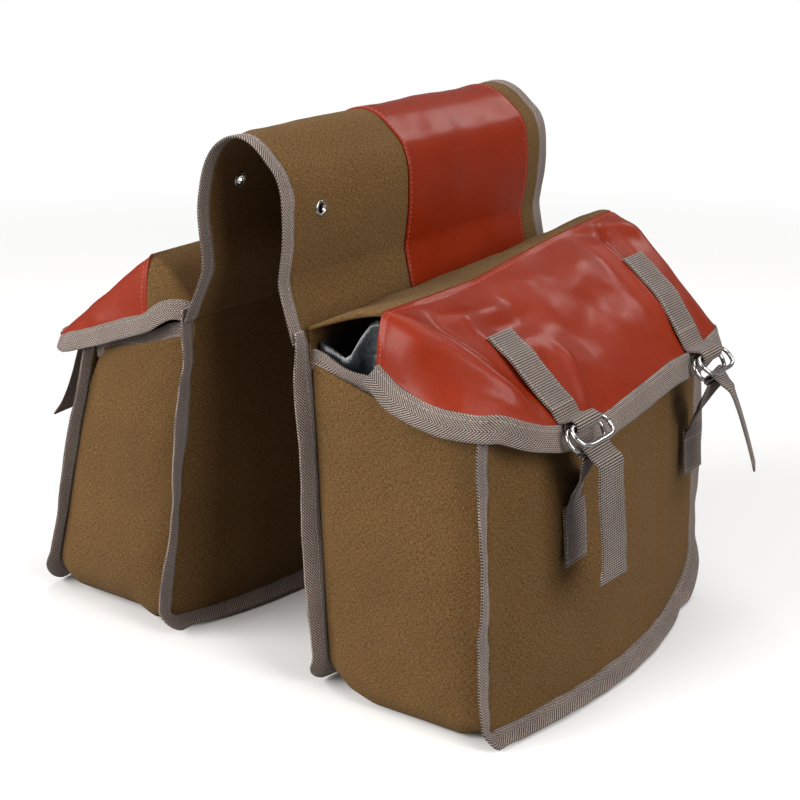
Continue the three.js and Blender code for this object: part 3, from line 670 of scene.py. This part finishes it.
def seam_fin(side, which):
    """The bound seam along the pocket's back or front panel. It splays outwards at the bottom."""
    back = which == "back"
    y, z, n = seam_line(side.corners[which], SEAM_Z if back else MOUTH_FRONT_Z + 2, 400)
    u = y / half_length(side.corners[which], z, y)
    x = (back_x(side, z, u) + 0.6) if back else (front_x(side, z, u) - 0.6)
    down = np.clip(-n[:, 1], 0, 1)
    lean = lerp(-0.3, -1.6, down) if back else lerp(0.17, 1.6, down)
    lean = lean + 0.16 * np.sin(z / 23 + (0 if back else 2)) * (1 - down)
    lean = lean * (ease((SEAM_Z - 4 - z) / 45) if back else 1)
    width = lerp(SEAM_BINDING, TAPE_WIDTH, ease((SEAM_Z - 12 - z) / 40) if back else down)
    width = width - (3.5 * ease((z - SEAM_Z + 10) / 8) if back else 0)
    wide = unit(np.stack([side.sign * lean, n[:, 0], n[:, 1]], -1))
    along = unit(np.gradient(place(side, x, y, z), axis=0))
    thin = unit(np.cross(along, wide))
    reach = (TAPE_WIDTH - 1.6 if back else 11.4 + 4 * down) - width / 2
    at = place(side, x, y, z) + wide * (reach * MM)[:, None]
    low = at[:, 2] - (np.abs(wide[:, 2]) * width / 2 + np.abs(thin[:, 2]) * TAPE_THICK / 2) * MM
    at[:, 2] += np.clip(0.0012 - low, 0, None)
    ruffle = down * 1.1 + 0.5
    at = at + thin * (ripple(at, 16, 2.0) * ruffle * MM)[:, None] * (1 - 0.6 * down[:, None])
    name = f"{side.name}_{which}_seam"
    tape(f"{name}_binding", f"{name}_tape", at, wide, thin, f"{side.name}_pocket", width, 6.0, thick=2.4)


def mouth_tape(side):
    x0, x1 = inner_x(side, MOUTH_BACK_Z) + 3, outer_x(side, MOUTH_FRONT_Z) - CANVAS / 2
    straight = np.linspace(0, 0.9, 40)
    turn = np.linspace(0, math.pi / 2, 12)
    radius = 10
    end = HALF + 1.5
    x = np.concatenate([lerp(x0, x1 - radius, straight / 0.9), x1 - radius + radius * np.sin(turn[1:])])
    y = np.concatenate([np.full(40, -end), -end + radius * (1 - np.cos(turn[1:]))])
    z = lerp(MOUTH_BACK_Z, MOUTH_FRONT_Z, (x - x0) / (x1 - x0)) + TAPE_WIDTH / 2 - 2.5
    near = np.stack([x, y, z], -1)
    near[:, 2] += 2.2 * np.sin(x / 9) * ease((110 - x) / 60) - 3.0 * np.exp(-(((x - 92) / 16) ** 2))
    near[:, 2] -= 7 * ease((x - x0 - 65) / 45)
    far = (near * [1, -1, 1])[::-1]
    line = even(np.vstack([near, far]), 240)
    at = place(side, line[:, 0], line[:, 1], line[:, 2])
    up = np.broadcast_to(np.array([0, 0, 1.0]), at.shape)
    along = unit(np.gradient(at, axis=0))
    name = f"{side.name}_mouth"
    tape(f"{name}_binding", f"{name}_tape", at, up, np.cross(along, up), f"{side.name}_pocket", 15, 3.0)


# ---- The yoke ----
# Its section, from the right seam over the crown to the left one, as shares of its half width, and heights.
YOKE_SHARES = [(0.92, 298), (0.94, 312), (1.0, 327), (1.03, 346), (1.0, 363), (0.88, 376), (0.66, 385), (0.38, 394),
               (0.1, 398.5), (-0.15, 399), (-0.42, 396), (-0.68, 389), (-0.9, 378), (-1.03, 364), (-1.1, 350),
               (-1.12, 337), (-1.08, 323), (-1.05, 311), (-1.12, 297)]


def yoke_section(y, count=120):
    t = (y + HALF) / (2 * HALF)
    half, centre = lerp(36, 41, t), lerp(12, 10, t)
    arch = [(centre + half * w, z) for w, z in YOKE_SHARES]
    p = curve([(RIGHT.seam - 0.3, SEAM_Z - 9), *arch, (-LEFT.seam + 0.3, SEAM_Z - 9)], count)
    return np.stack([p[:, 0] * MM + MIDDLE, np.full(count, y * MM), p[:, 1] * MM], -1)


def yoke_surface(ys, count=120):
    grid = np.stack([yoke_section(y, count) for y in ys])
    out = normals(grid)
    if out[:, count // 2, 2].mean() < 0:
        out = -out
    end = ease((HALF * MM - np.abs(grid[..., 1])) / (10 * MM))
    push = ripple(grid, 70, 2.5) * 1.8 + ripple(grid, 20, 8.0) * 0.35
    return grid + out * (push * end * MM)[..., None], out


def punch(piece, tools):
    for tool in tools:
        cutter = piece.modifiers.new("hole", "BOOLEAN")
        cutter.operation, cutter.object, cutter.solver = "DIFFERENCE", tool, "EXACT"
        bpy.context.view_layer.objects.active = piece
        bpy.ops.object.modifier_apply(modifier=cutter.name)
    for tool in tools:
        bpy.data.objects.remove(tool)


def hole_tool(centre, radius):
    lying = (0, math.pi / 2, 0)
    bpy.ops.mesh.primitive_cylinder_add(vertices=28, radius=radius * MM, depth=0.03, location=centre, rotation=lying)
    return bpy.context.active_object


def eyelet(side, spot, out):
    """A rolled nickel eyelet: flange, tube and the washer behind."""
    angle = np.linspace(0, 2 * math.pi, 40, endpoint=False)
    a = unit(np.cross(out, [0, 1, 0]))
    b = np.cross(out, a)

    def turned(name, profile, node):
        rings = [spot + (a * math.cos(t) + b * math.sin(t)) * r * MM + out * h * MM for t in angle for r, h in profile]
        k, n = len(profile), len(angle)
        index = np.arange(n * k).reshape(n, k)
        nxt = np.roll(index, -1, 0)
        faces = np.stack([index, nxt, np.roll(nxt, -1, 1), np.roll(index, -1, 1)], -1).reshape(-1, 4)
        uv = np.array([(t * 0.005, h * MM) for t in angle for r, h in profile])
        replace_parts(build(name, rings, [tuple(f) for f in faces], uv, metal, "yoke"), node)

    arc = [(math.cos(t), math.sin(t)) for t in np.linspace(0, math.pi, 9)]
    flange = [(4.5 + 1.25 * c, 0.1 + 0.8 * s) for c, s in arc]
    tube = [(3.25, -0.6), (3.3, -3.2), (3.75, -3.2), (3.75, -0.5), (5.5, -0.3)]
    turned(f"{side.name}_eyelet_ring", flange + tube, f"{side.name}_eyelet")
    washer = [(4.9 + 0.85 * c, -2.3 - 0.6 * s) for c, s in arc] + [(4.05, -2.1), (5.75, -2.1)]
    turned(f"{side.name}_eyelet_back", washer, f"{side.name}_eyelet_washer")


def yoke():
    ys = np.linspace(-HALF - 4, HALF + 4, 90)
    grid, out = yoke_surface(ys)
    piece = sheet("yoke_cloth", grid, CANVAS, out, canvas, "yoke")
    spots = {}
    for side, columns in ((RIGHT, slice(0, 55)), (LEFT, slice(65, 120))):
        row = int(np.abs(ys - EYELET_AT[side.name][0]).argmin())
        k = columns.start + int(np.abs(grid[row, columns, 2] - EYELET_AT[side.name][1] * MM).argmin())
        spots[side.name] = (grid[row, k], out[row, k])
    punch(piece, [hole_tool(spot, EYELET_HOLE) for spot, _ in spots.values()])
    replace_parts(piece, "yoke_canvas")
    for side in SIDES:
        eyelet(side, *spots[side.name])
    patch, patch_out = yoke_surface(np.linspace(-25, 133, 60))
    patch, patch_out = patch[:, 3:-3] + patch_out[:, 3:-3] * (LEATHER + 0.1) * MM, patch_out[:, 3:-3]
    top = sheet("yoke_patch", patch, LEATHER, patch_out, leather, "yoke")
    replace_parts(top, "yoke_leather")
    rows = [(patch[k], patch_out[k]) for k in (1, -2)]
    stitches("yoke_patch_stitches", rows, *HIDE_THREAD, 0.34, red_thread, "yoke", "leather")
    for name, end in (("near", -1), ("far", 1)):
        line, across = yoke_surface([end * (HALF + 2), end * (HALF + 3), end * (HALF + 4)], 190)
        at = line[1] - across[1] * CANVAS / 2 * MM
        at[:, 1] = end * (HALF + TAPE_WIDTH - 1.6 - SEAM_BINDING / 2) * MM
        wide = np.broadcast_to(np.array([0, end, 0.0]), at.shape)
        tape(f"yoke_{name}_binding", f"yoke_{name}_tape", at, wide, across[1], "yoke",
             SEAM_BINDING, 20.0, 0.25, thick=2.0)


# ---- The flaps ----
class Flap:
    """A flap's shape. Lists run outwards from the middle plane, or from the near end to the far one."""

    def __init__(self, side, ys, ridge_x, ridge_z, lip_x, lip_z, xs, near, far, bow=0.48):
        self.side, self.ys, self.bow = side, ys, bow
        self.ridge_x, self.ridge_z, self.lip_x, self.lip_z = ridge_x, ridge_z, lip_x, lip_z
        self.xs, self.near, self.far = xs, near, far
        self.start = side.seam + 2

    def along(self, table, y):
        return np.interp(y, self.ys, table)

    def top(self, a, y):
        """Height and distance of the leather at share a of the way from ridge to lip."""
        rx, rz = self.along(self.ridge_x, y), self.along(self.ridge_z, y)
        lx, lz = self.along(self.lip_x, y), self.along(self.lip_z, y)
        return lerp(rx, lx, a), lerp(rz, lz, (1 - self.bow) * a + self.bow * a**2.6)

    def point(self, a, b):
        """The leather at share a from ridge to lip and b from -1 at the near edge to 1 at the far one."""
        ref = lerp(self.side.ridge, self.side.lip, a)
        pairs = zip(self.near, self.far)
        ends = [np.where(b < 0, np.interp(ref, self.xs, n), np.interp(ref, self.xs, f)) for n, f in pairs]
        fold, edge_y, edge_z = ends
        inside = 0.78
        t = np.clip((np.abs(b) - inside) / (1 - inside), 0, 1)
        y_top = np.where(np.abs(b) <= inside, np.abs(b) / inside * fold * np.sign(b), fold * np.sign(b))
        x, z = self.top(a, y_top)
        slack = np.clip((np.abs(edge_y) - fold) / 40, 0, 1)
        g = lerp(np.sin(t * math.pi / 2), t, slack)
        f = lerp(1 - np.cos(t * math.pi / 2), t**1.3, slack)
        y = np.where(t > 0, np.sign(b) * lerp(fold, edge_y, g), y_top)
        z = np.where(t > 0, lerp(z, edge_z, f), z)
        x_edge, _ = self.top(a, y)
        return np.where(t > 0, lerp(x, x_edge, t), x), y, z


# near and far: where the end starts to turn down, and its edge's distance along and height, at each of xs.
FLAPS = {
    "right": Flap(RIGHT, [-165, -150, -98, -44, 14, 60, 108, 150, 165],
                  [121, 120, 120, 120, 120, 120, 120, 120, 120],
                  [294, 294, 293, 293, 299, 303, 306, 308, 308],
                  [207, 214, 225, 226, 225, 225, 225, 219, 212],
                  [236, 234, 218, 209, 215, 221, 221, 226, 228],
                  [120, 140, 164, 183, 202, 218, 224],
                  ([150, 141, 130, 117, 105, 96, 92], [160, 162, 162, 161, 159, 155, 152],
                    [258, 246, 239, 236, 236, 236, 236]),
                  ([150, 149, 147, 144, 140, 136, 134], [160, 161, 162, 162, 161, 158, 155],
                    [264, 252, 243, 236, 231, 229, 228])),
    "left": Flap(LEFT, [-165, -150, -80, 0, 80, 150, 165],
                 [86, 86, 95, 101, 103, 100, 98],
                 [303, 303, 300, 299, 302, 303, 302],
                 [182, 186, 193, 193, 193, 187, 182],
                 [231, 229, 220, 217, 221, 226, 228],
                 [84, 100, 125, 150, 175, 192],
                 ([153, 153, 152, 151, 149, 146], [159, 160, 161, 161, 160, 158], [265, 259, 250, 240, 231, 225]),
                 ([150, 150, 149, 147, 144, 139], [159, 160, 161, 161, 160, 157], [264, 259, 250, 242, 234, 229]), 0.1),
}
FLAPS["right"].creases = [
    # from, to (outwards, along), height, half width: positive stands up
    ((136, -150), (206, -114), 5.5, 8), ((140, -122), (208, -98), -6.0, 10), ((146, -112), (152, -52), 4.0, 9),
    ((160, -90), (162, -30), -5.0, 12), ((120, 96), (146, 150), 4.5, 8), ((132, 118), (176, 104), -6.0, 9),
    ((140, 92), (206, 84), 4.6, 9), ((158, 20), (150, 60), 3.6, 14), ((176, 10), (182, 60), -3.0, 14),
    ((190, -38), (218, -50), 4.0, 6), ((186, -58), (222, -70), -2.6, 6), ((206, 74), (224, 84), 1.8, 6),
    ((186, 128), (222, 132), -2.0, 7), ((176, -30), (200, 0), -1.8, 12), ((132, -30), (150, 10), 1.8, 16),
]
FLAPS["left"].creases = [
    ((110, -80), (170, -60), -2.5, 14), ((104, 40), (180, 70), 2.5, 12), ((120, 100), (180, 120), -2.2, 10),
    ((170, -100), (192, -86), 1.6, 6), ((168, 84), (190, 100), 1.6, 6), ((104, -20), (150, -10), 1.8, 16),
]


def crease(x, y, start, stop, height, half):
    """A soft ridge or valley along a line from start to stop, fading at its ends."""
    (x0, y0), (x1, y1) = start, stop
    length = math.hypot(x1 - x0, y1 - y0)
    along = ((x - x0) * (x1 - x0) + (y - y0) * (y1 - y0)) / length
    off = ((x - x0) * (y1 - y0) - (y - y0) * (x1 - x0)) / length
    fade = ease(0.5 + along / (half * 3)) * ease(0.5 + (length - along) / (half * 3))
    return height * fade * np.exp(-((off / half) ** 2))


def relax(points, rounds):
    """Rounds off sharp turns inside a grid and keeps its border."""
    p = points.copy()
    for _ in range(rounds):
        p[1:-1, 1:-1] = 0.5 * p[1:-1, 1:-1] + 0.125 * (p[:-2, 1:-1] + p[2:, 1:-1] + p[1:-1, :-2] + p[1:-1, 2:])
    return p


def flap_leather_grid(flap):
    a, b = np.meshgrid(np.linspace(0, 1, 84), np.linspace(-1, 1, 190), indexing="ij")
    x, y, z = flap.point(a, b)
    corner = ease((a - 0.9) / 0.1) * ease((np.abs(b) - 0.92) / 0.08) * 4.5
    x, y = x - corner, y - np.sign(b) * corner
    push = sum(crease(x, y, *c) for c in flap.creases)
    points = relax(place(flap.side, x, y, z), 10)
    out = normals_up(points)
    hold = ease(a / 0.05) * ease((1 - a) / 0.03) * ease((1 - np.abs(b)) / 0.04)
    push = push + ripple(points, 48, 1.0) * 1.9 + ripple(points, 15, 6.0) * 0.25
    return points + out * (push * hold * MM)[..., None], out


def flap_canvas_grid(flap):
    """The canvas between the yoke and the leather. The right one's near end is rolled in, the others hang."""
    side = flap.side
    rolled = side is RIGHT
    p, b = np.meshgrid(np.linspace(0, 1, 40), np.linspace(-1, 1, 150), indexing="ij")
    inside = 0.84
    t = np.clip((np.abs(b) - inside) / (1 - inside), 0, 1)
    fold = np.where(b < 0, -150.0, 150.0)
    y_top = np.where(np.abs(b) <= inside, b / inside * 150, fold)
    rx, rz = flap.along(flap.ridge_x, y_top), flap.along(flap.ridge_z, y_top)
    x = lerp(flap.start, rx, p)
    z = lerp(SEAM_Z + 2.5, rz, 0.35 * p + 0.65 * np.sin(p * math.pi / 2))
    edge_near = np.interp(side.ridge, flap.xs, flap.near[2])
    drop = lerp(3, rz - np.where(b < 0, edge_near, np.interp(side.ridge, flap.xs, flap.far[2])), p**1.2)
    y = np.where(t > 0, fold + np.sign(b) * 10 * p**0.5 * np.sin(t * math.pi / 2), y_top)
    hung = z - drop * (1 - np.cos(t * math.pi / 2))
    if rolled:
        turn = np.clip(t / 0.65, 0, 1) * math.pi
        curl_y = fold - 2.3 * np.sin(turn) + 46 * np.clip(t - 0.65, 0, None)
        curl_z = z - 2.1 * (1 - np.cos(turn)) + 3 * np.clip(t - 0.65, 0, None)
        near = b < 0
        y = np.where(near & (t > 0), curl_y, y)
        hung = np.where(near, curl_z, hung)
    z = np.where(t > 0, hung, z)
    points = relax(place(side, x, y, z), 1 if rolled else 4)
    out = normals_up(points)
    hold = ease(p / 0.06) * ease((1 - p) / 0.06)
    return points + out * ((ripple(points, 40, 3.0) * 1.5 + ripple(points, 14, 2.0) * 0.4) * hold * MM)[..., None], out


def free_edge(flap, leather_grid, leather_out, cloth_grid, cloth_out):
    """The flap's free edge, from the near end round the lip to the far end, with the face's normals."""
    hide, cloth = (leather_grid, leather_out), (cloth_grid, cloth_out)
    # the right flap's cloth is rolled at its near edge, not bound
    parts = [] if flap.side is RIGHT else [[grid[:, 0] for grid in cloth]]
    parts += [[grid[:, 0] for grid in hide], [grid[-1] for grid in hide]]
    parts += [[grid[::-1, -1] for grid in hide], [grid[::-1, -1] for grid in cloth]]
    line, up = (np.vstack(rows) for rows in zip(*parts))
    return even_with(line, up, 420)


def even_with(line, extra, count):
    """Spaces a line's points evenly and smooths it, and carries the normals in extra along."""
    step = np.concatenate([[True], np.linalg.norm(np.diff(line, axis=0), axis=1) > 1e-6])
    both = even(np.hstack([line, extra * 1e-4])[step], count)
    line, extra = both[:, :3], both[:, 3:]
    for _ in range(16):
        line[1:-1] = 0.5 * line[1:-1] + 0.25 * (line[:-2] + line[2:])
        extra[1:-1] = 0.5 * extra[1:-1] + 0.25 * (extra[:-2] + extra[2:])
    return line, unit(extra)


def flap_pieces(side):
    flap, body = FLAPS[side.name], f"{side.name}_flap"
    grid, out = flap_leather_grid(flap)
    top = sheet(f"{side.name}_flap_hide", grid, LEATHER, out, leather, body)
    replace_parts(top, f"{side.name}_flap_leather")
    cloth, cloth_out = flap_canvas_grid(flap)
    under = sheet(f"{side.name}_flap_cloth", cloth, CANVAS, cloth_out, canvas, body)
    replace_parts(under, f"{side.name}_flap_canvas")
    line, _ = free_edge(flap, grid, out, cloth, cloth_out)
    along = unit(np.gradient(line, axis=0))
    flat = unit(np.cross(along, [0, 0, 1.0]))
    if ((line - line.mean(0)) * flat).sum() < 0:
        flat = -flat
    down = np.cross(along, flat)
    down = down * -np.sign(down[:, 2:])
    wide = unit(down + flat * 0.3)
    at = line + wide * (18 / 2 - 3.5) * MM + flat * 0.3 * MM
    width = 18 if side is RIGHT else 15
    tape(f"{side.name}_flap_binding", f"{side.name}_flap_tape", at, wide, flat, body, width, 9.0, 0.15, 0.32, 2.6)
    row = 4 if side is LEFT else 3
    stitches(f"{side.name}_flap_stitches", [(grid[row], out[row])], *HIDE_THREAD, 0.36, red_thread, body, "leather")


# ---- Closure straps and rings ----
RING_SLOPE = math.radians(-45)
RING_OFFSET = 2.3
RING_TURN = {"upper": -0.18, "lower": 0.1}
LOOP_R = RING_OFFSET + RING_WIRE / 2 + STRAP_THICK / 2 + 0.2


def from_loop(side, along, across):
    c, s = math.cos(RING_SLOPE), math.sin(RING_SLOPE)
    along, across = np.asarray(along, float), np.asarray(across, float)
    return np.stack([side.lip + 9 + along * c - across * s, side.lip_z + 6 + along * s + across * c], -1)


def band(name, side, path, y, look_body, twist=0.0, flare=None, shift=None, count=150):
    """A strap along a path of (outwards, up), with its width along the pocket."""
    line = curve(path, count)
    share = np.linspace(0, 1, count)
    ys = np.full(count, float(y)) if shift is None else y + shift(share)
    at = place(side, line[:, 0], ys, line[:, 1])
    along = unit(np.gradient(at, axis=0))
    angle = twist * ease(share) if not callable(twist) else twist(share)
    wide = np.stack([np.sin(angle) * side.sign, np.cos(angle), 0 * angle], -1)
    wide = unit(wide - along * (wide * along).sum(1, keepdims=True))
    thin = np.cross(along, wide)
    width = STRAP_WIDTH * (1 + (flare(share) if flare else 0) + 0.012 * ripple(at, 12, 3.0))
    at = at + thin * (ripple(at, 30, 7.0) * 0.35 * MM)[:, None]
    piece = ribbon(name, at, wide, thin, width, STRAP_THICK, SECTION_STRAP, strap_look, look_body)
    return piece, at, wide, thin


def box_stitch(name, at, wide, thin, start, stop, body):
    """Two rows of stitches along a sewn stretch of strap, and one across each end."""
    part = slice(start, stop)
    lift = thin[part] * STRAP_THICK / 2 * MM
    rows = []
    for s in (-0.42, 0.42):
        rows.append((at[part] + wide[part] * s * STRAP_WIDTH * MM + lift, thin[part]))
    for k in (start, stop - 1):
        across = np.linspace(-0.42, 0.42, 8)[:, None] * STRAP_WIDTH * MM
        rows.append((at[k] + wide[k] * across + thin[k] * STRAP_THICK / 2 * MM, np.repeat(thin[k : k + 1], 8, 0)))
    stitches(name, rows, 3.0, 2.1, 0.32, tape_thread, body, "webbing")


def flap_height(grid, x, y):
    """Height of the leather over a point, from its finished grid, all in metres."""
    flat = grid.reshape(-1, 3)
    near = ((flat[:, :2] - [x, y]) ** 2).sum(1).argsort()[:4]
    return flat[near, 2].max()


def closure(side, end, grid):
    y, body = STRAP_Y[end], f"{side.name}_flap"
    name = f"{side.name}_{end}"
    top = lerp(side.ridge, side.lip, 0.45)
    xs = np.linspace(top, side.lip - 1, 10)
    lift = STRAP_THICK / 2 + 0.5
    width_ys = [y - 13, y, y + 13]
    heights = [max(flap_height(grid, side.sign * x * MM + MIDDLE, w * MM) for w in width_ys) / MM + lift for x in xs]
    sewn = list(zip(xs, heights))
    angles = np.radians(np.linspace(150, -150, 12))
    loop = from_loop(side, np.cos(angles) * LOOP_R, np.sin(angles) * LOOP_R)
    upper, at, wide, thin = band(f"{name}_upper_webbing", side, sewn + [tuple(p) for p in loop], y, body, count=170)
    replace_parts(upper, f"{name}_upper_strap")
    if thin[20, 2] < 0:
        thin = -thin
    box_stitch(f"{name}_upper_stitches", at, wide, thin, 3, 100, body)
    for which in ("upper", "lower"):
        ring(side, end, which)
    lower_strap(side, end)


def ring_line():
    w, d, r = RING_WIDTH / 2 - RING_WIRE / 2, RING_DROP, 7
    half = [(0, w - r)]
    half += [(r * (1 - math.cos(t)), w - r + r * math.sin(t)) for t in np.linspace(0.2, math.pi / 2, 6)]
    half += [(d * 0.5, w), (d * 0.8, w * 0.9), (d * 0.96, w * 0.66), (d, w * 0.35), (d, 0)]
    p = np.array(half)
    return curve(np.vstack([p, (p * [1, -1])[-2::-1], p[:1]]), 121)[:-1]


def ring(side, end, which):
    at = from_loop(side, 0, -RING_OFFSET if which == "upper" else RING_OFFSET)
    angle = RING_SLOPE + RING_TURN[which]
    line = ring_line()
    x = at[0] + line[:, 0] * math.cos(angle)
    z = at[1] + line[:, 0] * math.sin(angle)
    points = place(side, x, STRAP_Y[end] + line[:, 1], z)
    piece = wire(f"{side.name}_{end}_{which}_wire", points, RING_WIRE / 2, metal, f"{side.name}_{end}_rings")
    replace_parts(piece, f"{side.name}_{end}_{which}_ring")


def lower_strap(side, end):
    """Sewn on the front panel, up behind both rings, over the upper one, under the lower one, and down."""
    y, name, body = STRAP_Y[end], f"{side.name}_{end}", f"{side.name}_pocket"
    foot = 112 if end == "near" else 120
    aside = 17 if side is RIGHT else 0

    def face(z):
        return max(front_x(side, z, (y + d) / HALF) for d in (-15, 15)) + 2.6

    zs = np.linspace(foot, 156, 6)
    sewn, at, wide, thin = band(f"{name}_sewn_webbing", side, [(face(z), z) for z in zs], y + aside, body, count=40)
    if (thin[:, 0] * side.sign).mean() < 0:
        thin = -thin
    box_stitch(f"{name}_sewn_stitches", at, wide, thin, 3, 30, body)
    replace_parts(sewn, f"{name}_lower_strap")
    clear = RING_WIRE / 2 + STRAP_THICK / 2 + 1.0
    bow = np.array([RING_DROP * math.cos(RING_TURN["upper"]), RING_DROP * math.sin(RING_TURN["upper"]) - RING_OFFSET])
    turns = np.radians(np.linspace(-90, -270, 9))
    bend = [(clear * math.cos(t), clear * math.sin(t)) for t in turns]
    over = [(4, -clear - 0.3), *bend, (8, clear + 0.4), (16, clear + 0.8)]
    wrap = [tuple(from_loop(side, bow[0] + a, bow[1] + c)) for a, c in over]
    last = wrap[-1]
    tail = [(last[0] + out, last[1] + down) for out, down in side.tail[end]]
    low, high = (face(157) + 0.8, 158), wrap[0]
    rise = [(lerp(low[0], high[0], ease(t)), lerp(low[1], high[1], t)) for t in (0.3, 0.65)]
    path = [(face(148), 148), low] + rise + wrap + tail
    near = end == "near"

    def slide(s):
        return aside * (1 - ease((s - 0.04) / 0.34)) + 5 * ease((s - 0.55) / 0.4) * (1 if near else 0)

    def turn(s):
        swing = -0.35 * np.sin(np.clip(s / 0.34, 0, 1) * math.pi)
        return swing + (0.06 if near else -0.45) * ease((s - 0.35) / 0.25)

    def flare(s):
        return 0.12 * ease((s - 0.93) / 0.07)

    loose, at, wide, thin = band(f"{name}_free_webbing", side, path, y, body, turn, flare, slide, 200)
    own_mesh(loose)


yoke()
for side in SIDES:
    panel(side, "back")
    panel(side, "front")
    gusset(side)
    lining(side)
    seam_fin(side, "back")
    seam_fin(side, "front")
    mouth_tape(side)
    flap_pieces(side)
    hide = bpy.data.objects[f"{side.name}_flap_hide"]
    hide_points = np.array([v.co for v in hide.data.vertices])
    for end in STRAP_Y:
        closure(side, end, hide_points)
